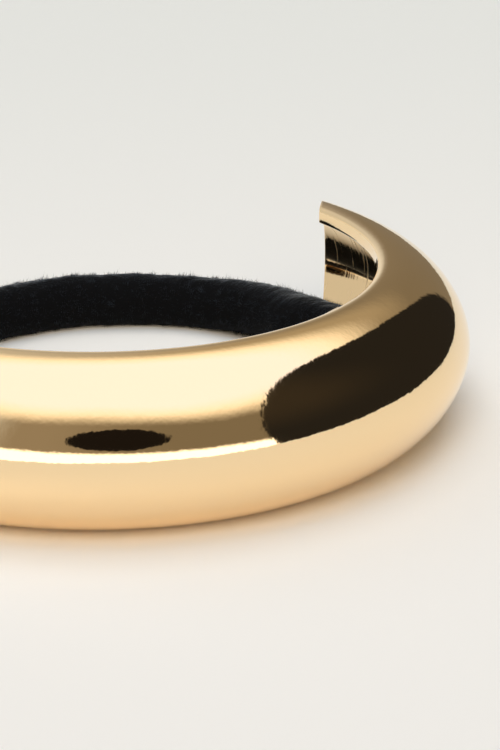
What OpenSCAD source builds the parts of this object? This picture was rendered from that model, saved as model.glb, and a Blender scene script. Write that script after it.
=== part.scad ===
// Ponytail cuff: a domed metal shell bent into an open ring, with a round hair elastic in its hollow.
// It lies on its side. The front of the cuff looks along -Y, and the surface is z = 0.

/* [Cuff] */
// Radius from the ring's axis to the inner edge of the rims
inner_r = 20; // [16:0.5:26]
// Height of the cuff from rim to rim
cuff_h = 12.5; // [10:0.5:18]
// How far the dome stands out from the rims
dome_depth = 6.3; // [5.5:0.05:9]
// Width of each rim from its inner edge to the start of the dome
rim_w = 0.6; // [0.5:0.05:1]
// Radius of the round on the inner edge of each rim
rim_round = 0.35; // [0.1:0.05:0.4]
// Thickness of the wall at the rims
rim_wall = 1.25; // [0.8:0.05:2]
// Thickness of the wall at the middle of the dome
dome_wall = 1.75; // [1.2:0.05:2.5]
// Fullness of the dome: 2 is an ellipse, less is more pointed
dome_fullness = 1.84; // [1.6:0.02:2.2]
// Fullness of the hollow inside the dome
hollow_fullness = 1.32; // [1.2:0.02:2]

/* [Ends] */
// Azimuth from the front of the inner corner of each end
end_azimuth = 124; // [105:1:140]
// Angle between the cut of each end and the plane of symmetry
end_splay = 8; // [0:0.5:30]
// Radius, in plan, between the cut of an end and the dome
end_round = 0.9; // [0.3:0.1:1.5]

/* [Elastic] */
// Diameter of the elastic
elastic_d = 4.1; // [3:0.1:4.4]
// Gap that the elastic keeps from the metal
elastic_gap = 0.1; // [0.06:0.01:0.2]

/* [Keepers] */
// Azimuth from the front of each keeper bar
keeper_azimuth = 55; // [30:1:75]
// Width of a keeper bar along the rim
keeper_w = 2.4; // [1.5:0.1:4]
// Thickness of a keeper bar
keeper_t = 0.7; // [0.5:0.05:1.2]
// How far the bar ends below the rim's face
keeper_inset = 0.6; // [0.3:0.05:1]
// Gap between a keeper bar and the rims
keeper_gap = 0.04; // [0.02:0.01:0.1]

/* [Hidden] */
gold = [0.84, 0.71, 0.47];
keeper_gold = [0.7, 0.6, 0.4];
black = [0.07, 0.07, 0.075];

outer_steps = 28;
hollow_steps = 20;
round_steps = 4;
mid_z = cuff_h / 2;
outer_r = inner_r + rim_w + dome_depth;
hollow_depth = outer_r - dome_wall - inner_r;
hollow_half = mid_z - rim_wall;
elastic_r = elastic_d / 2;
seat_share = (elastic_r + elastic_gap) / elastic_d;

// Route of the elastic round the back, from the right end to the left end. Each row holds the azimuth
// as a share of the way from one end of the cuff to the other, the distance from the inner edge of the
// rims as a share of the elastic's diameter, and the lift: 1 rests on the metal, 0 on the surface.
back_route = [
    [-0.39, 0.45, 1],
    [-0.3, 0.31, 1],
    [-0.22, 0.15, 1],
    [-0.15, 0.01, 1],
    [-0.08, -0.08, 1],
    [-0.03, -0.13, 1],
    [0.016, -0.135, 0.96],
    [0.062, -0.075, 0.68],
    [0.119, 0.08, 0.4],
    [0.21, 0.29, 0.12],
    [0.296, 0.38, 0],
    [0.38, 0.355, 0],
    [0.464, 0.3, 0],
    [0.548, 0.25, 0],
    [0.63, 0.14, 0],
    [0.717, -0.01, 0],
    [0.814, -0.13, 0.12],
    [0.9, -0.175, 0.46],
    [0.96, -0.165, 0.84],
    [1.01, -0.14, 1],
    [1.07, -0.08, 1],
    [1.145, 0.02, 1],
    [1.22, 0.16, 1],
    [1.3, 0.32, 1],
    [1.39, 0.455, 1]
];
seat_rows = 9;
rings_between = 2;
elastic_sides = 16;

// Superellipse: how far it stands out at the share s of its half height
function bulge(s, n) = pow(max(0, 1 - pow(abs(s), n)), 1 / n);

// Shares of the half height, close together near the rims
function heights(steps) = [for (i = [0:steps]) -cos(180 * i / steps)];

outer_profile = [
    for (s = heights(outer_steps))
        [inner_r + rim_w + dome_depth * bulge(s, dome_fullness), mid_z + mid_z * s]
];
hollow_profile = [
    for (s = heights(hollow_steps))
        [inner_r + hollow_depth * bulge(s, hollow_fullness), mid_z + hollow_half * s]
];

// Lower half of the hollow with the corner of its lip, on which the elastic rests
lower_wall = [for (p = hollow_profile) if (p[1] <= mid_z) p];

// Height of the elastic's centre where it rests on the lower wall at the radius r
function rest_z(r) =
    let (reach = elastic_r + elastic_gap)
    max(concat([elastic_r], [
        for (i = [0:len(lower_wall) - 2], t = [0:0.125:1])
            let (p = lower_wall[i] + t * (lower_wall[i + 1] - lower_wall[i]))
            if (abs(p[0] - r) < reach)
                p[1] + sqrt(reach * reach - pow(p[0] - r, 2))
    ]));

function at(r, azimuth, z) = [r * sin(azimuth), -r * cos(azimuth), z];

function route_point(azimuth, share, lift) =
    let (r = inner_r + share * elastic_d)
    at(r, azimuth, elastic_r + lift * (rest_z(r) - elastic_r));

gap_azimuth = 360 - 2 * end_azimuth;
back_points = [
    for (row = back_route)
        route_point(end_azimuth + row[0] * gap_azimuth, row[1], row[2])
];
seat_from = end_azimuth + (back_route[len(back_route) - 1][0]) * gap_azimuth - 360;
seat_to = end_azimuth + back_route[0][0] * gap_azimuth;
seat_points = [
    for (i = [1:seat_rows])
        route_point(seat_from + (seat_to - seat_from) * i / (seat_rows + 1), seat_share, 1)
];
route = concat(back_points, seat_points);

// Point on the smooth closed curve through the route, at the share t between two of its points
function along(i, t) =
    let (
        n = len(route),
        a = route[(i + n - 1) % n],
        b = route[i % n],
        c = route[(i + 1) % n],
        d = route[(i + 2) % n]
    )
    0.5 * (2 * b + t * (c - a) + t * t * (2 * a - 5 * b + 4 * c - d)
        + t * t * t * (3 * b - a - 3 * c + d));

// The centres of the elastic's rings, none of them lower than the surface lets it lie
centres = [
    for (i = [0:len(route) - 1], j = [0:rings_between - 1])
        let (p = along(i, j / rings_between))
        [p[0], p[1], max(p[2], elastic_r)]
];

function unit(v) = v / norm(v);

// Closed tube round a closed row of centres, whose flat sides touch the circle of the radius r
module closed_tube(centres, r, sides) {
    n = len(centres);
    corner_r = r / cos(180 / sides);
    points = [
        for (i = [0:n - 1])
            let (
                ahead = unit(centres[(i + 1) % n] - centres[(i + n - 1) % n]),
                side = unit(cross(ahead, [0, 0, 1])),
                up = cross(side, ahead)
            )
            for (k = [0:sides - 1])
                let (angle = 360 * (k + 0.5) / sides)
                centres[i] + corner_r * (cos(angle) * side + sin(angle) * up)
    ];
    faces = [
        for (i = [0:n - 1], k = [0:sides - 1])
            let (
                a = i * sides + k,
                b = i * sides + (k + 1) % sides,
                c = ((i + 1) % n) * sides + (k + 1) % sides,
                d = ((i + 1) % n) * sides + k
            )
            each [[a, b, c], [a, c, d]]
    ];
    polyhedron(points = points, faces = faces, convexity = 8);
}

// The object stands with the middle of its box on the origin
back_reach = max([for (p = centres) p[1]]) + elastic_r;
ring_y = (outer_r - back_reach) / 2;

// Each end is cut along a line from its inner corner, and a round joins the cut to the dome
end_corner = [inner_r * sin(end_azimuth), -inner_r * cos(end_azimuth)];
cut_way = [sin(end_splay), cos(end_splay)];
into_metal = [cos(end_splay), -sin(end_splay)];
round_start = end_corner + end_round * into_metal;
round_along = -round_start * cut_way
    + sqrt(pow(round_start * cut_way, 2) + pow(outer_r - end_round, 2) - round_start * round_start);
round_centre = round_start + round_along * cut_way;

// Plan of one half of the gap at the back, with the cut of the end on its right
module half_gap_plan() {
    near = end_corner - inner_r / 4 * cut_way;
    clear = round_centre * 2;
    difference() {
        polygon([
            [0, near[1]],
            near,
            round_centre - end_round * into_metal,
            round_centre,
            clear,
            [0, clear[1]]
        ]);
        translate(round_centre)
            circle(end_round, $fn = 48);
    }
}

module gap_plan() {
    half_gap_plan();
    mirror([1, 0])
        half_gap_plan();
}

// Round on the inner edge of the lower rim, from the hollow side to the flat
rim_arc = [
    for (i = [0:round_steps])
        let (angle = 90 * i / round_steps)
        [inner_r + rim_round * (1 - cos(angle)), rim_round * (1 - sin(angle))]
];

module section() {
    polygon(concat(
        rim_arc,
        outer_profile,
        [for (i = [round_steps:-1:0]) [rim_arc[i][0], cuff_h - rim_arc[i][1]]],
        [for (i = [hollow_steps:-1:0]) hollow_profile[i]]
    ));
}

module cuff() {
    color(gold)
        translate([0, ring_y, 0])
            difference() {
                rotate_extrude($fn = 96) section();
                translate([0, 0, -cuff_h / 2])
                    linear_extrude(2 * cuff_h) gap_plan();
            }
}

module elastic_band() {
    color(black)
        translate([0, ring_y, 0])
            closed_tube(centres, elastic_r, elastic_sides);
}

// Flat bar across the mouth of the hollow, against the inner faces of both rims
module keeper(azimuth) {
    back_face = sqrt(inner_r * inner_r - keeper_w * keeper_w / 4) - keeper_gap;
    color(keeper_gold)
        translate([0, ring_y, keeper_inset])
            rotate(azimuth - 90)
                translate([back_face - keeper_t, -keeper_w / 2, 0])
                    cube([keeper_t, keeper_w, cuff_h - 2 * keeper_inset]);
}

module keeper_left() {
    keeper(-keeper_azimuth);
}

module keeper_right() {
    keeper(keeper_azimuth);
}

cuff();
elastic_band();
keeper_left();
keeper_right();
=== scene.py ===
"""Looks of the ponytail cuff: a pale gold plated, hollow domed cuff with a round black hair elastic in it.

Lengths are in millimetres in the classes below and become metres where a mesh or a node is made. Angles are
in degrees. Azimuths round the ring start at the front of the cuff, which faces -Y. Azimuths of the lamps and
of the room start at the back, +Y. Both grow towards +X.
"""

import logging
import math
import random
from dataclasses import dataclass
from enum import Enum

import bmesh
import bpy
import numpy as np
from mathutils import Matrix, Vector, noise


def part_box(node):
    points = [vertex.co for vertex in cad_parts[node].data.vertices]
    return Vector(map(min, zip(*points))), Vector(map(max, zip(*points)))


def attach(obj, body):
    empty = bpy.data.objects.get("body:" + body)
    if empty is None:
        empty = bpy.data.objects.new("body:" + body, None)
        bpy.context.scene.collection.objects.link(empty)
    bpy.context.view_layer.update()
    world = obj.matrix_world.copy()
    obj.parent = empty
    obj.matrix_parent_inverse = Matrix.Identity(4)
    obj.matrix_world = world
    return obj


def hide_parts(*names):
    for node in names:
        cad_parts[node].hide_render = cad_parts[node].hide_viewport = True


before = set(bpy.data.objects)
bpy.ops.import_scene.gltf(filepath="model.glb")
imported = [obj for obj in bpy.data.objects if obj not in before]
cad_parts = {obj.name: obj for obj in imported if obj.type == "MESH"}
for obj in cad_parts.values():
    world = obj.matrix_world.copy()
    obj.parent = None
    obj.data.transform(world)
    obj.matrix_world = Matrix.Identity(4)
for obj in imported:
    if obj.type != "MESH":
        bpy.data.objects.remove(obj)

MM = 0.001
ROOT = "root"
ELLIPSE = 2.0
SHARP_ANGLE = math.radians(35)
log = logging.getLogger("ponytail_cuff")

Tree = bpy.types.NodeTree
Socket = bpy.types.NodeSocket
Colour = tuple[float, float, float, float]
Span = tuple[float, float]


class Slot(Enum):
    """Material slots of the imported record."""

    GOLD = "gold_metal"
    ELASTIC = "black_elastic"


class Side(Enum):
    """Left or right, as seen by someone who looks at the front of the cuff."""

    LEFT = -1
    RIGHT = 1


def linear(hex_code: str, strength: float = 1.0) -> Colour:
    """Turns an sRGB hex colour to the linear values that a shader socket takes.

    Args:
        hex_code: Six hex digits, such as "ffe0b0".
        strength: How many times as bright the result is.

    Returns:
        Red, green and blue, from 0 to 1 at a strength of 1, with an alpha of 1.
    """
    low, slope, offset, power = 0.04045, 12.92, 0.055, 2.4
    parts = [int(hex_code[i : i + 2], 16) / 255 for i in (0, 2, 4)]
    values = [p / slope if p <= low else ((p + offset) / (1 + offset)) ** power for p in parts]
    return (*(strength * v for v in values), 1.0)


def add_node(
    tree: Tree, kind: str, settings: dict | None = None, inputs: dict | None = None
) -> bpy.types.Node:
    """Adds one node to a tree.

    Args:
        tree: The node tree.
        kind: The node's type name in Blender.
        settings: The node's attributes by name.
        inputs: What its inputs take, by name or number: a value, an output socket or a Reading.

    Returns:
        The new node.
    """
    node = tree.nodes.new(kind)
    for name, value in (settings or {}).items():
        setattr(node, name, value)
    for name, value in (inputs or {}).items():
        source = value.socket if isinstance(value, Reading) else value
        if isinstance(source, Socket):
            tree.links.new(source, node.inputs[name])
        else:
            node.inputs[name].default_value = source
    return node


@dataclass(frozen=True)
class Reading:
    """A number that nodes work out for each place or direction, and the arithmetic on it."""

    tree: Tree
    socket: Socket

    @classmethod
    def of(cls, tree: Tree, operation: str, *values: "Reading | float") -> "Reading":
        """Returns what an operation makes of some values."""
        step = add_node(tree, "ShaderNodeMath", {"operation": operation}, dict(enumerate(values)))
        return cls(tree, step.outputs[0])

    def then(self, operation: str, *others: "Reading | float") -> "Reading":
        """Returns what an operation makes of the number and the others after it."""
        return Reading.of(self.tree, operation, self, *others)

    def __add__(self, other: "Reading | float") -> "Reading":
        """Returns the sum."""
        return self.then("ADD", other)

    def __sub__(self, other: "Reading | float") -> "Reading":
        """Returns the difference."""
        return self.then("SUBTRACT", other)

    def __rsub__(self, other: float) -> "Reading":
        """Returns what is left of another number when this one is taken from it."""
        return Reading.of(self.tree, "SUBTRACT", other, self)

    def __mul__(self, other: "Reading | float") -> "Reading":
        """Returns the product."""
        return self.then("MULTIPLY", other)

    def __truediv__(self, other: "Reading | float") -> "Reading":
        """Returns the quotient."""
        return self.then("DIVIDE", other)

    def __pow__(self, other: "Reading | float") -> "Reading":
        """Returns the power."""
        return self.then("POWER", other)

    def __abs__(self) -> "Reading":
        """Returns the number without its sign."""
        return self.then("ABSOLUTE")

    def rise(self, span: Span) -> "Reading":
        """Returns a smooth step from 0 at the start of a span to 1 at its end.

        Args:
            span: Where the step starts and ends.

        Returns:
            The height of the step.
        """
        inputs = {0: self, 1: span[0], 2: span[1]}
        step = add_node(self.tree, "ShaderNodeMapRange", {"interpolation_type": "SMOOTHSTEP"}, inputs)
        return Reading(self.tree, step.outputs[0])

    def turned(self, azimuth: float) -> "Reading":
        """Returns how far the number is turned from an azimuth, from 0 to 180 degrees."""
        return abs((self - azimuth).then("WRAP", 180.0, -180.0))

    def cover(self, under: Colour | Socket, over: Colour | Socket) -> Socket:
        """Returns the colour under, covered by the colour over as far as the number says."""
        mixed = add_node(self.tree, "ShaderNodeMix", {"data_type": "RGBA"}, {0: self, 6: under, 7: over})
        return mixed.outputs[2]


def new_material(name: str) -> tuple[bpy.types.Material, Tree]:
    """Makes an empty material.

    Args:
        name: The material's name.

    Returns:
        The material and its node tree.
    """
    made = bpy.data.materials.new(name)
    made.use_nodes = True
    made.node_tree.nodes.clear()
    return made, made.node_tree


def end_material(tree: Tree, inputs: dict) -> None:
    """Ends a material with its shader.

    Args:
        tree: The material's node tree.
        inputs: What the shader's inputs take, by name.
    """
    shader = add_node(tree, "ShaderNodeBsdfPrincipled", inputs=inputs)
    add_node(tree, "ShaderNodeOutputMaterial", inputs={"Surface": shader.outputs[0]})


def axes_of(tree: Tree, vector: Socket) -> list[Reading]:
    """Returns the three parts of a vector."""
    parts = add_node(tree, "ShaderNodeSeparateXYZ", inputs={0: vector}).outputs
    return [Reading(tree, part) for part in parts]


def deselect_all() -> None:
    """Leaves edit mode and deselects every object."""
    if bpy.context.object and bpy.context.object.mode != "OBJECT":
        bpy.ops.object.mode_set(mode="OBJECT")
    bpy.ops.object.select_all(action="DESELECT")


def settle(piece: bpy.types.Object, name: str) -> bpy.types.Object:
    """Puts a piece's place into its mesh, so that its object stands unturned at the origin.

    Args:
        piece: The piece, in object mode.
        name: The piece's name.

    Returns:
        The same piece.
    """
    bpy.ops.object.transform_apply(location=True, rotation=True, scale=True)
    piece.name = piece.data.name = name
    return piece


def bulge(share: float, fullness: float) -> float:
    """Returns how far a superellipse stands out at a share of its half height."""
    return max(0.0, 1 - abs(share) ** fullness) ** (1 / fullness)


def arc(centre: Span, radius: float, start: float, end: float, steps: int) -> list[Span]:
    """Works out points along an arc.

    Args:
        centre: The arc's centre.
        radius: Its radius.
        start: The angle of its first point.
        end: The angle of its last point.
        steps: How many chords it has.

    Returns:
        The points, both ends included.
    """
    angles = [math.radians(start + (end - start) * i / steps) for i in range(steps + 1)]
    return [(centre[0] + radius * math.cos(a), centre[1] + radius * math.sin(a)) for a in angles]


@dataclass(frozen=True)
class Lamp:
    """One soft lamp over the table, by where its light comes from; the metal doesn't mirror it."""

    name: str
    azimuth: float
    elevation: float
    spread: float
    strength: float
    hex_code: str

    def hang(self) -> None:
        """Hangs the lamp as a wide, distant light."""
        data = bpy.data.lights.new(self.name, "SUN")
        data.energy = self.strength
        data.angle = math.radians(self.spread)
        data.color = linear(self.hex_code)[:3]
        lamp = bpy.data.objects.new(self.name, data)
        up, turn = math.radians(self.elevation), math.radians(self.azimuth)
        way = Vector((math.cos(up) * math.sin(turn), math.cos(up) * math.cos(turn), math.sin(up)))
        lamp.rotation_euler = way.to_track_quat("Z", "Y").to_euler()
        lamp.visible_glossy = False
        bpy.context.scene.collection.objects.link(lamp)


@dataclass(frozen=True)
class Patch:
    """An oval patch of the room, by the azimuth and elevation of its middle."""

    azimuth: float
    elevation: float
    half_width: float
    half_height: float
    fullness: float
    fade: float

    def share(self, azimuth: Reading, elevation: Reading) -> Reading:
        """Tells which directions meet the patch.

        Args:
            azimuth: The azimuth of a direction.
            elevation: Its elevation.

        Returns:
            1 inside the patch and 0 outside it.
        """
        across = (azimuth.turned(self.azimuth) / self.half_width) ** self.fullness
        up = (abs(elevation - self.elevation) / self.half_height) ** self.fullness
        return 1.0 - (across + up).rise((1 - self.fade, 1 + self.fade))


@dataclass(frozen=True)
class MirroredRoom:
    """The room that the metal mirrors: a bright ceiling, dim walls, a pale table, a dark panel and a lens.

    A rise is the span of elevations over which one colour gives way to the next, and a turn is such a span
    of azimuths. A rise that ends in right or back is a span of how far a direction points that way, from -1
    to 1.
    """

    wall_hex: str = "7f7564"
    left_wall_hex: str = "968b7a"
    wall_rise_right: Span = (-0.4, 0.4)
    back_wall_hex: str = "aa9d85"
    back_wall_rise: Span = (22.0, 34.0)
    back_wall_rise_back: Span = (0.65, 0.95)
    window_hex: str = "d2d2d0"
    window: Patch = Patch(-72.0, 20.0, 70.0, 60.0, 3.0, 0.5)
    ceiling_edge_hex: str = "fef3e0"
    ceiling_edge_strength: float = 1.25
    ceiling_edge_rise: Span = (36.3, 52.3)
    ceiling_hex: str = "ededff"
    ceiling_strength: float = 1.42
    ceiling_rise: Span = (45.8, 61.8)
    ceiling_lower_right: float = 3.5
    ceiling_lower_back: float = 1.2
    ceiling_higher_front: float = 4.5
    ceiling_front_focus: float = 8.0
    far_table_rise: Span = (8.0, 26.0)
    far_table_rise_right: Span = (-0.05, 0.15)
    far_table_rise_back: Span = (0.2, 0.6)
    near_table_hex: str = "fffaf0"
    near_table_strength: float = 2.3
    near_table_rise: Span = (6.8, 11.8)
    near_table_higher_left: float = 4.0
    near_table_turn: Span = (50.0, 56.0)
    panel_hex: str = "262422"
    panel_corner_hex: str = "363028"
    panel: Patch = Patch(79.0, 10.5, 50.3, 45.9, 2.13, 0.03)
    panel_lean: float = 0.09
    panel_corner_turn: Span = (62.0, 106.0)
    panel_corner_rise: Span = (10.0, 38.0)
    lens_hex: str = "1c1816"
    lens: Patch = Patch(176.5, 25.8, 16.0, 13.0, ELLIPSE, 0.08)

    def paint(self, tree: Tree, far_table: Colour) -> Socket:
        """Paints the room by the direction of the ray that meets it.

        Args:
            tree: The world's node tree.
            far_table: The colour of the table's far edge.

        Returns:
            The room's colour.
        """
        direction = add_node(tree, "ShaderNodeTexCoord").outputs["Generated"]
        x, y, z = axes_of(tree, direction)
        elevation = z.then("ARCSINE") * (180 / math.pi)
        azimuth = x.then("ARCTAN2", y) * (180 / math.pi)
        right = azimuth.then("RADIANS").then("SINE")
        back = azimuth.then("RADIANS").then("COSINE")

        room = right.rise(self.wall_rise_right).cover(linear(self.left_wall_hex), linear(self.wall_hex))
        back_wall = elevation.rise(self.back_wall_rise) * back.rise(self.back_wall_rise_back)
        room = back_wall.cover(room, linear(self.back_wall_hex))
        room = self.window.share(azimuth, elevation).cover(room, linear(self.window_hex))

        front = (back * -1.0).then("MAXIMUM", 0.0) ** self.ceiling_front_focus
        lowered = right * self.ceiling_lower_right + back * self.ceiling_lower_back
        raised = elevation + (lowered - front * self.ceiling_higher_front)
        edge = linear(self.ceiling_edge_hex, self.ceiling_edge_strength)
        room = raised.rise(self.ceiling_edge_rise).cover(room, edge)
        room = raised.rise(self.ceiling_rise).cover(room, linear(self.ceiling_hex, self.ceiling_strength))

        low, left = 1.0 - elevation.rise(self.far_table_rise), 1.0 - right.rise(self.far_table_rise_right)
        room = (low * left * back.rise(self.far_table_rise_back)).cover(room, far_table)

        ahead = 1.0 - azimuth.turned(180.0).rise(self.near_table_turn)
        low = 1.0 - (elevation + right * self.near_table_higher_left).rise(self.near_table_rise)
        room = (ahead * low).cover(room, linear(self.near_table_hex, self.near_table_strength))

        leant = azimuth - elevation * self.panel_lean
        corner = leant.rise(self.panel_corner_turn) * elevation.rise(self.panel_corner_rise)
        panel = corner.cover(linear(self.panel_hex), linear(self.panel_corner_hex))
        room = self.panel.share(leant, elevation).cover(room, panel)
        return self.lens.share(azimuth, elevation).cover(room, linear(self.lens_hex))


@dataclass(frozen=True)
class Studio:
    """Pale table, soft lamps, the room that the metal mirrors, and the camera."""

    focal_length: float = 153.67
    sensor_width: float = 36.0
    clip_start: float = 1.0
    camera_place: tuple[float, float, float] = (0.0, -222.86, 85.01)
    pitch: float = 20.15
    yaw: float = 2.76
    floor_width: float = 6000.0
    floor_depth: Span = (-150.0, 170.0)
    # Painted light falloff: the table is brighter near the front lamps and darker towards the back
    near_floor_hex: str = "f4f1ee"
    far_floor_hex: str = "e8e8e5"
    floor_painted_falloff: Span = (-20.0, 140.0)
    floor_roughness: float = 0.85
    floor_specular: float = 0.1
    backdrop_hex: str = "e9e7e1"
    room: MirroredRoom = MirroredRoom()
    lamps: tuple[Lamp, ...] = (
        Lamp("front_softbox", 180.0, 35.0, 40.0, 2.2, "fcebd0"),
        Lamp("front_top_softbox", 180.0, 60.0, 40.0, 0.82, "a2d5ff"),
        Lamp("overhead_softbox", 0.0, 90.0, 50.0, 1.12, "fffbf4"),
        Lamp("back_left_window", -45.0, 45.0, 40.0, 0.4, "ffffff"),
        Lamp("left_window", -90.0, 60.0, 40.0, 0.08, "ffffff"),
    )

    def place_camera(self, centre_y: float) -> None:
        """Stands the camera where the photograph was taken from.

        Args:
            centre_y: The ring's centre along Y, which the camera's place is measured from.
        """
        data = bpy.data.cameras.new("camera")
        data.sensor_width = self.sensor_width
        data.lens = self.focal_length
        data.clip_start = self.clip_start * MM
        camera = bpy.data.objects.new("camera", data)
        bpy.context.scene.collection.objects.link(camera)
        x, y, z = self.camera_place
        camera.location = (x * MM, (y + centre_y) * MM, z * MM)
        camera.rotation_euler = (math.radians(90 - self.pitch), 0, -math.radians(self.yaw))
        bpy.context.scene.camera = camera
        bpy.context.scene.view_settings.view_transform = "Standard"

    def lay_floor(self) -> None:
        """Lays the matt, pale table top, whose colour darkens from front to back as painted light falloff.
        """
        front, back = self.floor_depth
        deselect_all()
        bpy.ops.mesh.primitive_plane_add(size=MM, location=(0, (front + back) / 2 * MM, 0))
        bpy.context.object.scale = (self.floor_width, back - front, 1)
        floor = settle(bpy.context.object, "table_top")
        made, tree = new_material("matt_painted_table")
        place = add_node(tree, "ShaderNodeTexCoord").outputs["Object"]
        near, far = self.floor_painted_falloff
        # Painted light falloff: the colour darkens towards the back of the table
        depth = axes_of(tree, place)[1].rise((near * MM, far * MM))
        end_material(tree, {
            "Base Color": depth.cover(linear(self.near_floor_hex), linear(self.far_floor_hex)),
            "Roughness": self.floor_roughness,
            "Specular IOR Level": self.floor_specular,
        })
        floor.data.materials.append(made)

    def light_room(self) -> None:
        """Hangs the lamps and sets up the room, which only the metal sees."""
        for lamp in self.lamps:
            lamp.hang()
        world = bpy.data.worlds.new("room")
        bpy.context.scene.world = world
        world.cycles_visibility.diffuse = False
        world.use_nodes = True
        tree = world.node_tree
        tree.nodes.clear()
        backdrop = linear(self.backdrop_hex)
        room = self.room.paint(tree, backdrop)
        seen = add_node(tree, "ShaderNodeBackground", inputs={"Color": room}).outputs[0]
        plain = add_node(tree, "ShaderNodeBackground", inputs={"Color": backdrop}).outputs[0]
        to_camera = add_node(tree, "ShaderNodeLightPath").outputs["Is Camera Ray"]
        both = add_node(tree, "ShaderNodeMixShader", inputs={0: to_camera, 1: seen, 2: plain}).outputs[0]
        add_node(tree, "ShaderNodeOutputWorld", inputs={"Surface": both})


@dataclass(frozen=True)
class PalePlatedGold:
    """Pale gold electroplate over a polished zinc casting: a mirror with the faint peel of buffed plate."""

    base_hex: str = "ffe2b4"
    roughness: float = 0.045
    peel_width: float = 0.42
    peel_height: float = 0.0019
    wave_width: float = 2.6
    wave_height: float = 0.006

    def build(self) -> bpy.types.Material:
        """Makes the material.

        Returns:
            The material of the outside of the cuff.
        """
        made, tree = new_material("pale_gold_plate")
        place = add_node(tree, "ShaderNodeTexCoord").outputs["Object"]
        normal: dict[str, Socket] = {}
        for width, height in ((self.wave_width, self.wave_height), (self.peel_width, self.peel_height)):
            relief = add_node(tree, "ShaderNodeTexNoise", inputs={
                "Vector": place, "Scale": 1 / (width * MM), "Detail": 1.0,
            })
            bump = add_node(tree, "ShaderNodeBump", inputs={
                "Height": relief.outputs["Fac"], "Distance": 2 * height * MM, **normal,
            })
            normal = {"Normal": bump.outputs[0]}
        end_material(tree, {
            "Metallic": 1.0, "Base Color": linear(self.base_hex), "Roughness": self.roughness, **normal,
        })
        return made


@dataclass(frozen=True)
class DrawnHollowGold:
    """The same plate in the hollow, which no buffing wheel reaches: draw marks run from rim to rim."""

    base_hex: str = "ffdfae"
    roughness: float = 0.07
    scuffed_roughness: float = 0.4
    scuff_span: Span = (0.56, 0.68)
    mark_width: float = 0.3
    mark_length: float = 5.0
    mark_height: float = 0.011
    mark_detail: float = 3.0
    ring_radius: float = 22.0

    def build(self, centre_y: float) -> bpy.types.Material:
        """Makes the material.

        Args:
            centre_y: The ring's centre along Y, round which the marks are spaced.

        Returns:
            The material of the hollow and of the keeper bars.
        """
        made, tree = new_material("drawn_gold_plate")
        x, y, z = axes_of(tree, add_node(tree, "ShaderNodeTexCoord").outputs["Object"])
        along = x.then("ARCTAN2", centre_y * MM - y) * (self.ring_radius / self.mark_width)
        across = z * (1 / (self.mark_length * MM))
        place = add_node(tree, "ShaderNodeCombineXYZ", inputs={0: along, 1: across}).outputs[0]
        marks = add_node(tree, "ShaderNodeTexNoise",
                         inputs={"Vector": place, "Scale": 1.0, "Detail": self.mark_detail}).outputs["Fac"]
        low, high = self.scuff_span
        scuffs = add_node(tree, "ShaderNodeMapRange",
                          inputs={0: marks, 1: low, 2: high, 3: self.roughness, 4: self.scuffed_roughness})
        bump = add_node(tree, "ShaderNodeBump", inputs={"Height": marks, "Distance": self.mark_height * MM})
        end_material(tree, {
            "Metallic": 1.0, "Base Color": linear(self.base_hex),
            "Roughness": scuffs.outputs[0], "Normal": bump.outputs[0],
        })
        return made


@dataclass(frozen=True)
class KnittedCover:
    """Black knitted polyester round a rubber core, with a painted blue-grey sheen highlight on its upper
    side that stands in for the light from above grazing it.
    """

    base_hex: str = "0c0c0d"
    roughness: float = 0.95
    specular: float = 0.08
    # Painted highlight: a blue-grey sheen that is strong only on the upper side, where light from above and
    # behind grazes the elastic
    painted_sheen_hex: str = "bccbe0"
    painted_sheen_roughness: float = 0.3
    painted_sheen_weight: Span = (0.05, 1.0)
    painted_sheen_rise: Span = (0.66, 0.95)
    wale: float = 0.62
    course: float = 0.5
    stitch_share: float = 0.25
    stitch_depth: float = 0.03
    stitch_strength: float = 0.1
    pile: float = 0.2
    pile_depth: float = 0.06
    pile_detail: float = 3.0

    def build(self, length: float, girth: float) -> bpy.types.Material:
        """Makes the material.

        Args:
            length: The elastic's length, which U runs along.
            girth: Its girth, which V runs round.

        Returns:
            The material of the elastic's cover.
        """
        made, tree = new_material("black_knitted_cover")
        places = add_node(tree, "ShaderNodeTexCoord").outputs
        # Painted highlight: the sheen's weight grows as the surface faces up, so the upper side looks lit
        upward = axes_of(tree, places["Normal"])[2]
        (low, high), (bare, full) = self.painted_sheen_rise, self.painted_sheen_weight
        nap = add_node(tree, "ShaderNodeMapRange", inputs={0: upward, 1: low, 2: high, 3: bare, 4: full})

        u, v, _ = axes_of(tree, places["UV"])
        wales = v * round(girth / self.wale)
        lean = abs(wales.then("FRACT") - 0.5)
        courses = u * round(length / self.course) + lean
        legs, ribs = (courses * (2 * math.pi)).then("SINE"), (lean * (2 * math.pi)).then("COSINE")
        knit = add_node(tree, "ShaderNodeBump", inputs={
            "Height": legs * self.stitch_share + ribs * self.stitch_share,
            "Distance": self.stitch_depth * MM, "Strength": self.stitch_strength,
        })
        pile = add_node(tree, "ShaderNodeTexNoise", inputs={
            "Vector": places["Object"], "Scale": 1 / (self.pile * MM), "Detail": self.pile_detail,
        })
        bump = add_node(tree, "ShaderNodeBump", inputs={
            "Height": pile.outputs["Fac"], "Distance": self.pile_depth * MM, "Normal": knit.outputs[0],
        })
        end_material(tree, {
            "Base Color": linear(self.base_hex), "Roughness": self.roughness,
            "Specular IOR Level": self.specular,
            "Sheen Weight": nap.outputs[0], "Sheen Roughness": self.painted_sheen_roughness,
            "Sheen Tint": linear(self.painted_sheen_hex), "Normal": bump.outputs[0],
        })
        return made


@dataclass(frozen=True)
class LooseFibre:
    """Loose ends of the cover's textured polyester: dark, and lit blue-grey where the light grazes them."""

    base_hex: str = "23272d"
    roughness: float = 0.7
    specular: float = 0.2

    def build(self) -> bpy.types.Material:
        """Makes the material.

        Returns:
            The material of the nap.
        """
        made, tree = new_material("black_polyester_fibre")
        end_material(tree, {
            "Base Color": linear(self.base_hex), "Roughness": self.roughness,
            "Specular IOR Level": self.specular,
        })
        return made


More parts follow.
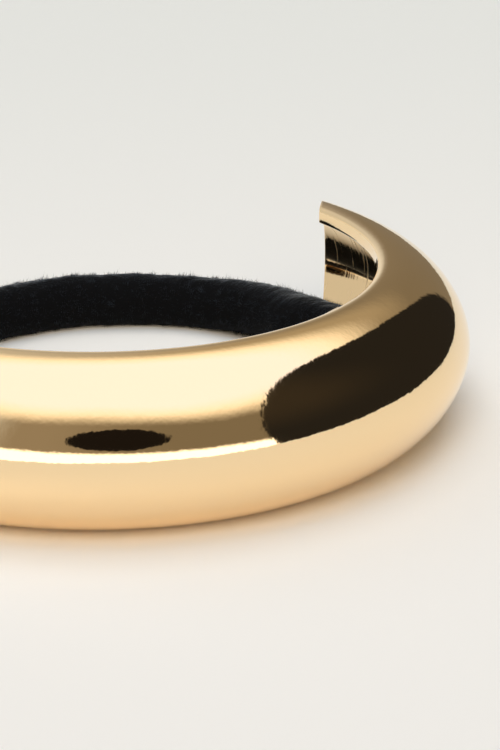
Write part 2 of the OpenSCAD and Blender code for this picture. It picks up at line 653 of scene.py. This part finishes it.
@dataclass
class CuffShell:
    """The cuff: a domed shell bent round the ring's axis, hollow on its inner side and open at the back.

    The upper half of the hollow is round all the way. The lower half, on which the elastic lies, is flatter.
    It gets round over the span of azimuths in open_azimuth, past which the elastic only touches the lip.
    """

    outer_radius: float
    height: float
    centre_y: float
    inner_radius: float = 20.0
    rim_width: float = 0.6
    rim_arch: float = 0.3
    rim_lean: float = 0.05
    rim_steps: int = 8
    rim_wall: float = 1.25
    lip_round: float = 0.32
    lip_steps: int = 8
    dome_wall: float = 1.75
    dome_fullness: float = 1.84
    dome_segments: int = 71
    hollow_fullness: float = 1.32
    roof_fullness: float = ELLIPSE
    open_fullness: float = 1.7
    open_azimuth: Span = (98.0, 114.0)
    hollow_segments: int = 41
    end_azimuth: float = 124.0
    end_splay: float = 8.0
    end_round: float = 0.9
    nose_share: float = 0.97
    edge_round: float = 0.05
    edge_segments: int = 3
    turns: int = 320
    wall_tolerance: float = 0.001
    end_margin: float = 1.0
    finish_edge: float = 0.3
    finish_depth: float = 0.2
    end_slope: float = 0.6

    def __post_init__(self) -> None:
        """Works out the height of the middle and the depth of the hollow."""
        self.middle = self.height / 2
        self.hollow_depth = self.outer_radius - self.dome_wall - self.inner_radius

    def outside(self) -> list[Span]:
        """Draws the dome's part of the section.

        Returns:
            Its points, from the lower rim to the upper one.
        """
        start = self.inner_radius + self.rim_width
        depth = self.outer_radius - self.inner_radius - self.rim_width
        shares = [-math.cos(math.pi * i / self.dome_segments) for i in range(self.dome_segments + 1)]
        return [(start + depth * bulge(s, self.dome_fullness), self.middle * (1 + s)) for s in shares]

    def hollow(self) -> list[Span]:
        """Draws the hollow's part of the section.

        Returns:
            Its points, from the upper lip to the lower one.
        """
        half = self.middle - self.rim_wall
        shares = [math.cos(math.pi * i / self.hollow_segments) for i in range(self.hollow_segments + 1)]
        points = [(self.wall_radius(self.middle + half * s), self.middle + half * s) for s in shares]
        return [p for p in points if p[0] > self.inner_radius + self.lip_round]

    def rim(self) -> list[Span]:
        """Draws the lower rim's part of the section, a flat arch.

        Returns:
            Its points, from the hollow's side to the dome.
        """
        width, start = self.rim_width - self.rim_lean, self.inner_radius + self.rim_width
        shares = [math.cos(math.pi / 2 * i / self.rim_steps) for i in range(self.rim_steps)]
        return [(start - width * s, self.rim_arch * (1 - bulge(s, ELLIPSE))) for s in shares]

    def section(self) -> list[Span]:
        """Draws the whole section.

        Returns:
            Its closed outline, as distances from the axis and heights.
        """
        low_rim, lip = self.rim(), self.lip_round
        high_rim = [(r, self.height - z) for r, z in reversed(low_rim)]
        lip_centre = (self.inner_radius + lip, self.height - self.rim_wall + lip)
        high_lip = arc(lip_centre, lip, 180, 270, self.lip_steps)
        low_lip = [(r, self.height - z) for r, z in reversed(high_lip)]
        return low_rim + self.outside() + high_rim + high_lip + self.hollow() + low_lip

    def wall_radius(self, height: float, azimuth: float = 0.0) -> float:
        """Works out how far the hollow's wall is from the axis.

        Args:
            height: The height above the table.
            azimuth: How far the place is from the front.

        Returns:
            The distance, which is the inner edge's own at the rims.
        """
        share = (height - self.middle) / (self.middle - self.rim_wall)
        if share > 0:
            return self.inner_radius + self.hollow_depth * bulge(share, self.roof_fullness)
        flat, full = bulge(share, self.hollow_fullness), bulge(share, self.open_fullness)
        start, end = self.open_azimuth
        way = min(1.0, max(0.0, (abs(azimuth) - start) / (end - start)))
        return self.inner_radius + self.hollow_depth * (flat + (full - flat) * way * way * (3 - 2 * way))

    def end_at(self, radius: float) -> float:
        """Works out where a circle round the axis meets the cut of the right end, or the round beside it.

        Args:
            radius: The circle's radius.

        Returns:
            The azimuth of that point.
        """
        azimuth, splay = math.radians(self.end_azimuth), math.radians(self.end_splay)
        corner = Vector((math.sin(azimuth), -math.cos(azimuth))) * self.inner_radius
        way = Vector((math.sin(splay), math.cos(splay)))
        start = corner + self.end_round * Vector((math.cos(splay), -math.sin(splay)))
        reach = self.outer_radius - self.end_round
        along = -start @ way + math.sqrt((start @ way) ** 2 + reach**2 - start @ start)
        round_centre = start + along * way
        if radius > (corner + along * way).length:
            spread = (radius**2 + reach**2 - self.end_round**2) / (2 * radius * reach)
            turn = math.degrees(math.acos(min(1.0, spread)))
            return math.degrees(math.atan2(round_centre.x, -round_centre.y)) + turn
        there = -corner @ way + math.sqrt((corner @ way) ** 2 + radius**2 - self.inner_radius**2)
        point = corner + max(there, 0.0) * way
        return math.degrees(math.atan2(point.x, -point.y))

    def in_metal(self, point: Vector, clear: float) -> bool:
        """Tells whether a point on the inner side of the cuff is in the metal or too near to it.

        Args:
            point: The point.
            clear: How near the point may come to the metal.

        Returns:
            True if it is nearer or inside.
        """
        x, y, z = point.x, point.y - self.centre_y, point.z
        radius, azimuth = math.hypot(x, y), abs(math.degrees(math.atan2(x, -y)))
        past_end = azimuth > self.end_at(max(radius, self.inner_radius)) + self.end_margin
        if past_end or radius < self.inner_radius - clear:
            return False
        return radius > self.wall_radius(z, azimuth) - clear

    def build(self) -> bpy.types.Object:
        """Models the shell: its section is spun round the axis, and its two ends are slanted and closed.

        Returns:
            The shell.
        """
        deselect_all()
        section = self.section()
        bpy.ops.mesh.primitive_circle_add(vertices=len(section), radius=self.outer_radius * MM)
        shell = bpy.context.object
        azimuth = -math.radians(self.end_azimuth)
        for vertex, (radius, height) in zip(shell.data.vertices, section):
            vertex.co = Vector((radius * math.sin(azimuth), -radius * math.cos(azimuth), height)) * MM
        bpy.ops.object.mode_set(mode="EDIT")
        bpy.ops.mesh.select_all(action="SELECT")
        bpy.ops.mesh.spin(steps=self.turns, angle=2 * azimuth, center=(0, 0, 0), axis=(0, 0, 1))
        bpy.ops.object.mode_set(mode="OBJECT")
        self._slant_ends(shell)
        self._close_ends(shell)
        bpy.ops.object.mode_set(mode="EDIT")
        bpy.ops.mesh.select_all(action="SELECT")
        bpy.ops.mesh.normals_make_consistent(inside=False)
        bpy.ops.object.mode_set(mode="OBJECT")
        shell.location.y = self.centre_y * MM
        settle(shell, "cuff_shell")
        bpy.ops.object.shade_smooth_by_angle(angle=SHARP_ANGLE)
        weighted = shell.modifiers.new("even_shading", "WEIGHTED_NORMAL")
        weighted.keep_sharp = True
        bpy.ops.object.modifier_apply(modifier=weighted.name)
        return shell

    def _slant_ends(self, shell: bpy.types.Object) -> None:
        """Rounds the hollow towards the ends, and moves all round the axis so that the ends lie on the cuts.

        Args:
            shell: The spun shell.
        """
        for vertex in shell.data.vertices:
            x, y, z = vertex.co / MM
            radius, turn = math.hypot(x, y), math.degrees(math.atan2(x, -y))
            past_lip = radius > self.inner_radius + self.lip_round
            if past_lip and abs(radius - self.wall_radius(z)) < self.wall_tolerance:
                radius = self.wall_radius(z, turn)
            azimuth = math.radians(turn * self.end_at(radius) / self.end_azimuth)
            vertex.co.x, vertex.co.y = radius * math.sin(azimuth) * MM, -radius * math.cos(azimuth) * MM

    def _close_ends(self, shell: bpy.types.Object) -> None:
        """Fills the two ends and softens their edges.

        Args:
            shell: The shell, open at both ends.
        """
        bpy.ops.object.mode_set(mode="EDIT")
        mesh = bmesh.from_edit_mesh(shell.data)
        for edge in mesh.edges:
            edge.seam = edge.is_boundary
        nose_radius = (self.outer_radius - self.nose_share * self.end_round) * MM
        for side in Side:
            ring = {v for e in mesh.edges if e.seam for v in e.verts if v.co.x * side.value > 0}
            nose = [v for v in ring if math.hypot(v.co.x, v.co.y) > nose_radius]
            low = sorted((v for v in nose if v.co.z < self.middle * MM), key=lambda v: v.co.z)
            high = sorted((v for v in nose if v.co.z > self.middle * MM), key=lambda v: -v.co.z)
            for corners in zip(low, low[1:], high[1:], high):
                bmesh.ops.contextual_create(mesh, geom=corners)
        bmesh.update_edit_mesh(shell.data)
        bpy.ops.mesh.select_mode(type="EDGE")
        for side in Side:
            bpy.ops.mesh.select_all(action="DESELECT")
            mesh = bmesh.from_edit_mesh(shell.data)
            for edge in mesh.edges:
                if edge.is_boundary and edge.verts[0].co.x * side.value > 0:
                    edge.select_set(True)
            bpy.ops.mesh.edge_face_add()
        bpy.ops.mesh.select_all(action="DESELECT")
        mesh = bmesh.from_edit_mesh(shell.data)
        for edge in mesh.edges:
            edge.select_set(edge.seam)
        bpy.ops.mesh.bevel(
            offset=self.edge_round * MM, segments=self.edge_segments, profile=0.5, affect="EDGES",
        )
        bpy.ops.object.mode_set(mode="OBJECT")

    def dress(self, shell: bpy.types.Object, hollow_finish: bpy.types.Material) -> None:
        """Gives the shell its two finishes and its place in the frame.

        Args:
            shell: The modelled shell.
            hollow_finish: The material of the hollow.
        """
        shell.data.materials.append(PalePlatedGold().build())
        shell.data.materials.append(hollow_finish)
        for face in shell.data.polygons:
            x, y, z = face.center / MM
            y -= self.centre_y
            radius = math.hypot(x, y)
            along_ring = Vector((-y, x, 0)) / radius
            on_end = abs(face.normal @ along_ring) > self.end_slope
            deepest = self.wall_radius(z, 180.0) + self.finish_depth
            if not on_end and self.inner_radius + self.finish_edge < radius < deepest:
                face.material_index = 1
        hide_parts("cuff")
        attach(shell, ROOT)


@dataclass
class Nap:
    """Sizes of the loose fibres on the elastic, which stand in tufts."""

    fibres: int = 60000
    width: float = 0.03
    rooted: float = 0.03
    clear: float = 0.02
    seed: int = 5
    to_tuft: int = 6
    length: Span = (0.14, 0.32)
    long_length: Span = (0.3, 0.55)
    first_length: float = 0.2
    long_chance: float = 0.05
    length_share: Span = (0.6, 1.1)
    tuft_turn: float = 0.06
    tuft_lean: float = 0.4
    fibre_lean: float = 0.25
    curl: float = 0.35


@dataclass
class ElasticBand:
    """The hair elastic: one round closed loop in the cuff's hollow that crosses the gap at the back."""

    cuff: CuffShell
    nap: Nap
    diameter: float = 4.1
    gap: float = 0.1
    seat_rows: int = 9
    wall_steps: int = 20
    wall_parts: int = 8
    steps_between: int = 16
    rings: int = 720
    ribs: int = 22
    cuts: int = 2
    rib_depth: float = 0.01
    swell: float = 0.09
    swell_length: float = 3.2
    dent: float = 0.07
    dent_length: float = 0.8
    most_swell: float = 0.6
    floor_gap: float = 0.01

    # From the right end to the left: the azimuth as a share of the way from end to end, the distance from
    # the inner edge of the rims as a share of the diameter, and the lift, 1 on the metal and 0 on the table
    back_route: tuple[tuple[float, float, float], ...] = (
        (-0.39, 0.45, 1), (-0.3, 0.31, 1), (-0.22, 0.15, 1), (-0.15, 0.01, 1), (-0.08, -0.08, 1),
        (-0.03, -0.13, 1), (0.016, -0.135, 0.96), (0.062, -0.075, 0.68), (0.119, 0.08, 0.4),
        (0.21, 0.29, 0.12), (0.296, 0.38, 0), (0.38, 0.355, 0), (0.464, 0.3, 0), (0.548, 0.25, 0),
        (0.63, 0.14, 0), (0.717, -0.01, 0), (0.814, -0.13, 0.12), (0.9, -0.175, 0.46), (0.96, -0.165, 0.84),
        (1.01, -0.14, 1), (1.07, -0.08, 1), (1.145, 0.02, 1), (1.22, 0.16, 1), (1.3, 0.32, 1),
        (1.39, 0.455, 1),
    )

    def __post_init__(self) -> None:
        """Lays the loop: its length and the places of its rings follow from the route."""
        self.radius = self.diameter / 2
        centres = self.centre_line()
        self.length = sum((q - p).length for p, q in zip(centres, centres[1:]))
        self.placed = self.frames(centres)

    def rest_height(self, radius: float) -> float:
        """Works out how high the elastic's centre is where it lies on the hollow's lower wall.

        Args:
            radius: The centre's distance from the axis.

        Returns:
            The height above the table.
        """
        cuff, reach = self.cuff, self.radius + self.gap
        half = cuff.middle - cuff.rim_wall
        heights = [cuff.middle + half * -math.cos(math.pi * i / self.wall_steps)
                   for i in range(self.wall_steps // 2 + 1)]
        wall = [Vector((cuff.wall_radius(z), z)) for z in heights]
        highest = self.radius
        for low, high in zip(wall, wall[1:]):
            for part in range(self.wall_parts + 1):
                point = low.lerp(high, part / self.wall_parts)
                if abs(point.x - radius) < reach:
                    highest = max(highest, point.y + math.sqrt(reach**2 - (point.x - radius) ** 2))
        return highest

    def route_point(self, azimuth: float, share: float, lift: float) -> Vector:
        """Works out a point of the route.

        Args:
            azimuth: Its azimuth.
            share: Its distance from the inner edge of the rims, as a share of the diameter.
            lift: 1 where it rests on the metal and 0 where it lies on the table.

        Returns:
            The point.
        """
        radius, turn = self.cuff.inner_radius + share * self.diameter, math.radians(azimuth)
        height = self.radius + lift * (self.rest_height(radius) - self.radius)
        return Vector((radius * math.sin(turn), self.cuff.centre_y - radius * math.cos(turn), height))

    def route(self) -> list[Vector]:
        """Works out the chosen points of the whole loop.

        Returns:
            The points round the back, then those in the hollow.
        """
        end = self.cuff.end_azimuth
        gap = 360 - 2 * end
        points = [self.route_point(end + share * gap, out, lift) for share, out, lift in self.back_route]
        start, stop = end + self.back_route[-1][0] * gap - 360, end + self.back_route[0][0] * gap
        seat = (self.radius + self.gap) / self.diameter
        for i in range(1, self.seat_rows + 1):
            points.append(self.route_point(start + (stop - start) * i / (self.seat_rows + 1), seat, 1))
        return points

    def centre_line(self) -> list[Vector]:
        """Draws a smooth curve through the route.

        Returns:
            Evenly spaced centres of the elastic's rings, round the whole loop.
        """
        route = self.route()
        count = len(route)
        fine = []
        for i in range(count):
            a, b, c, d = (route[(i + j) % count] for j in (-1, 0, 1, 2))
            for step in range(self.steps_between):
                t = step / self.steps_between
                bend, twist = 2 * a - 5 * b + 4 * c - d, 3 * b - a - 3 * c + d
                point = (2 * b + t * (c - a) + t**2 * bend + t**3 * twist) / 2
                point.z = max(point.z, self.radius)
                fine.append(point)
        fine.append(fine[0])
        travelled = np.cumsum([0.0] + [(q - p).length for p, q in zip(fine, fine[1:])])
        places = np.linspace(0, travelled[-1], self.rings, endpoint=False)
        axes = [np.interp(places, travelled, [p[axis] for p in fine]) for axis in range(3)]
        log.info("elastic: %.1f mm round its centre line", travelled[-1])
        return [Vector(point) for point in zip(*axes)]

    def frames(self, centres: list[Vector]) -> list[tuple[Vector, Vector, Vector]]:
        """Stands the rings across the centre line.

        Args:
            centres: The rings' centres.

        Returns:
            Each ring's centre with its two cross directions, out from the axis and up.
        """
        placed = []
        for i, centre in enumerate(centres):
            ahead = (centres[(i + 1) % len(centres)] - centres[i - 1]).normalized()
            side = ahead.cross(Vector((0, 0, 1))).normalized()
            placed.append((centre, side, side.cross(ahead)))
        return placed

    def surface(self, ring: int, turn: float) -> tuple[Vector, Vector]:
        """Finds a point of the uneven surface.

        Args:
            ring: The number of the ring.
            turn: The angle round the ring, in radians.

        Returns:
            The point and its way out.
        """
        centre, side, up = self.placed[ring]
        out = math.cos(turn) * side + math.sin(turn) * up
        smooth = centre + self.radius * out
        swell = self.swell * noise.noise(smooth / self.swell_length)
        dent = self.dent * noise.noise(smooth / self.dent_length)
        rib = self.rib_depth * abs(math.cos(self.ribs * turn / 2))
        point = smooth + (min(swell + dent, self.most_swell * self.gap) + rib - self.rib_depth) * out
        point.z = max(point.z, self.floor_gap)
        return point, out

    def build(self) -> bpy.types.Object:
        """Models the cover as a torus that is led along the route.

        Returns:
            The cover.
        """
        deselect_all()
        ring_radius = self.cuff.inner_radius * MM
        bpy.ops.mesh.primitive_torus_add(
            major_segments=self.rings // (self.cuts + 1), minor_segments=self.ribs,
            major_radius=ring_radius, minor_radius=self.radius * MM, generate_uvs=True,
        )
        cover = bpy.context.object
        bpy.ops.object.mode_set(mode="EDIT")
        bpy.ops.mesh.select_all(action="SELECT")
        bpy.ops.mesh.subdivide(number_cuts=self.cuts)
        bpy.ops.object.mode_set(mode="OBJECT")
        for vertex in cover.data.vertices:
            x, y, z = vertex.co
            ring = round(math.atan2(y, x) / (2 * math.pi) * self.rings) % self.rings
            turn = math.atan2(z, math.hypot(x, y) - ring_radius)
            vertex.co = self.surface(ring, turn)[0] * MM
        settle(cover, "elastic_cover")
        bpy.ops.object.shade_smooth()
        return cover

    def build_nap(self) -> bpy.types.Object:
        """Models one fibre and sows copies of it over the cover.

        Returns:
            The fibres, as one piece.
        """
        deselect_all()
        bpy.ops.mesh.primitive_cone_add(
            vertices=3, radius1=0.5, radius2=0.0, depth=1.0, end_fill_type="NOTHING", location=(0, 0, 0.5),
        )
        fibre = bpy.context.object
        bpy.ops.object.transform_apply(location=True)
        corners = [tuple(v.co) for v in fibre.data.vertices]
        faces = [tuple(p.vertices) for p in fibre.data.polygons]

        nap, chance = self.nap, random.Random(self.nap.seed)
        points, all_faces = [], []
        middle, turn, tuft_lean, tuft_length = 0, 0.0, Vector(), nap.first_length
        while len(points) < nap.fibres * len(corners):
            if chance.random() < 1 / nap.to_tuft:
                middle, turn = chance.randrange(self.rings), chance.uniform(0, 2 * math.pi)
                tuft_lean = self._strayed(chance, nap.tuft_lean)
                is_long = chance.random() < nap.long_chance
                tuft_length = chance.uniform(*(nap.long_length if is_long else nap.length))
            ring = (middle + chance.randint(-1, 1)) % self.rings
            root, out = self.surface(ring, turn + chance.gauss(0, nap.tuft_turn))
            length = tuft_length * chance.uniform(*nap.length_share)
            way = (out + (tuft_lean + self._strayed(chance, nap.fibre_lean))).normalized()
            curl = self._strayed(chance, nap.curl)
            tip = root + length * (way + curl)
            if tip.z < nap.clear or self.cuff.in_metal(tip, nap.clear) or (tip - root) @ out < nap.clear:
                continue
            side = way.orthogonal().normalized() * nap.width
            over = way.cross(side)
            root = root - nap.rooted * out
            start = len(points)
            for x, y, z in corners:
                points.append((root + x * side + y * over + length * (z * way + z * z * curl)) * MM)
            all_faces += [tuple(start + corner for corner in face) for face in faces]
        fibre.data.clear_geometry()
        fibre.data.from_pydata(points, [], all_faces)
        fibre.data.update()
        settle(fibre, "elastic_nap")
        bpy.ops.object.shade_smooth()
        return fibre

    def _strayed(self, chance: random.Random, spread: float) -> Vector:
        """Draws a small random vector."""
        return Vector([chance.gauss(0, spread) for _ in range(3)])

    def dress(self, cover: bpy.types.Object, fibres: bpy.types.Object) -> None:
        """Gives the cover and its fibres their finishes and their place in the frame.

        Args:
            cover: The modelled cover.
            fibres: The loose fibres on it.
        """
        cover.data.materials.append(KnittedCover().build(self.length, math.pi * self.diameter))
        fibres.data.materials.append(LooseFibre().build())
        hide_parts("elastic_band")
        for piece in (cover, fibres):
            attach(piece, ROOT)


@dataclass
class KeeperBars:
    """Two plain bars across the mouth of the hollow that keep the elastic in it."""

    cuff: CuffShell
    azimuth: float = 55.0
    width: float = 2.4
    thickness: float = 0.7
    inset: float = 0.6
    gap: float = 0.04
    edge_round: float = 0.16
    edge_segments: int = 4

    def build(self, side: Side) -> bpy.types.Object:
        """Models the bar of one side.

        Args:
            side: Left or right.

        Returns:
            The bar.
        """
        deselect_all()
        back = math.sqrt(self.cuff.inner_radius**2 - self.width**2 / 4) - self.gap
        bpy.ops.mesh.primitive_cube_add(size=MM)
        bar = bpy.context.object
        bar.scale = (self.thickness, self.width, self.cuff.height - 2 * self.inset)
        bar.location = ((back - self.thickness / 2) * MM, 0, self.cuff.middle * MM)
        bpy.ops.object.transform_apply(location=True, rotation=True, scale=True)
        bpy.ops.object.mode_set(mode="EDIT")
        bpy.ops.mesh.select_all(action="SELECT")
        bpy.ops.mesh.bevel(offset=self.edge_round * MM, segments=self.edge_segments, affect="EDGES")
        bpy.ops.object.mode_set(mode="OBJECT")
        bar.rotation_euler.z = math.radians(side.value * self.azimuth - 90)
        bar.location.y = self.cuff.centre_y * MM
        settle(bar, f"keeper_bar_{side.name.lower()}")
        bpy.ops.object.shade_smooth_by_angle(angle=SHARP_ANGLE)
        return bar

    def dress(self, bar: bpy.types.Object, side: Side, finish: bpy.types.Material) -> None:
        """Gives a bar its finish and its place in the frame.

        Args:
            bar: The modelled bar.
            side: Left or right.
            finish: The material of the hollow, which the bar shares.
        """
        bar.data.materials.append(finish)
        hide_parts(f"keeper_{side.name.lower()}")
        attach(bar, ROOT)


def main() -> None:
    """Builds the scene piece by piece."""
    logging.basicConfig(level=logging.INFO, format="%(name)s: %(message)s")
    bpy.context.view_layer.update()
    low, high = (Vector(corner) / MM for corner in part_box("cuff"))
    outer_radius = (high.x - low.x) / 2
    centre_y = low.y + outer_radius
    studio = Studio()
    studio.place_camera(centre_y)
    studio.lay_floor()
    studio.light_room()

    cuff = CuffShell(outer_radius=outer_radius, height=high.z - low.z, centre_y=centre_y)
    shell = cuff.build()
    hollow_finish = DrawnHollowGold().build(centre_y)
    cuff.dress(shell, hollow_finish)
    pieces = [shell]

    band = ElasticBand(cuff=cuff, nap=Nap())
    cover, fibres = band.build(), band.build_nap()
    band.dress(cover, fibres)
    pieces += [cover, fibres]

    bars = KeeperBars(cuff=cuff)
    for side in Side:
        bar = bars.build(side)
        bars.dress(bar, side, hollow_finish)
        pieces.append(bar)
    for piece in pieces:
        log.info("%s: %d faces", piece.name, len(piece.data.polygons))


if __name__ == "__main__":
    main()
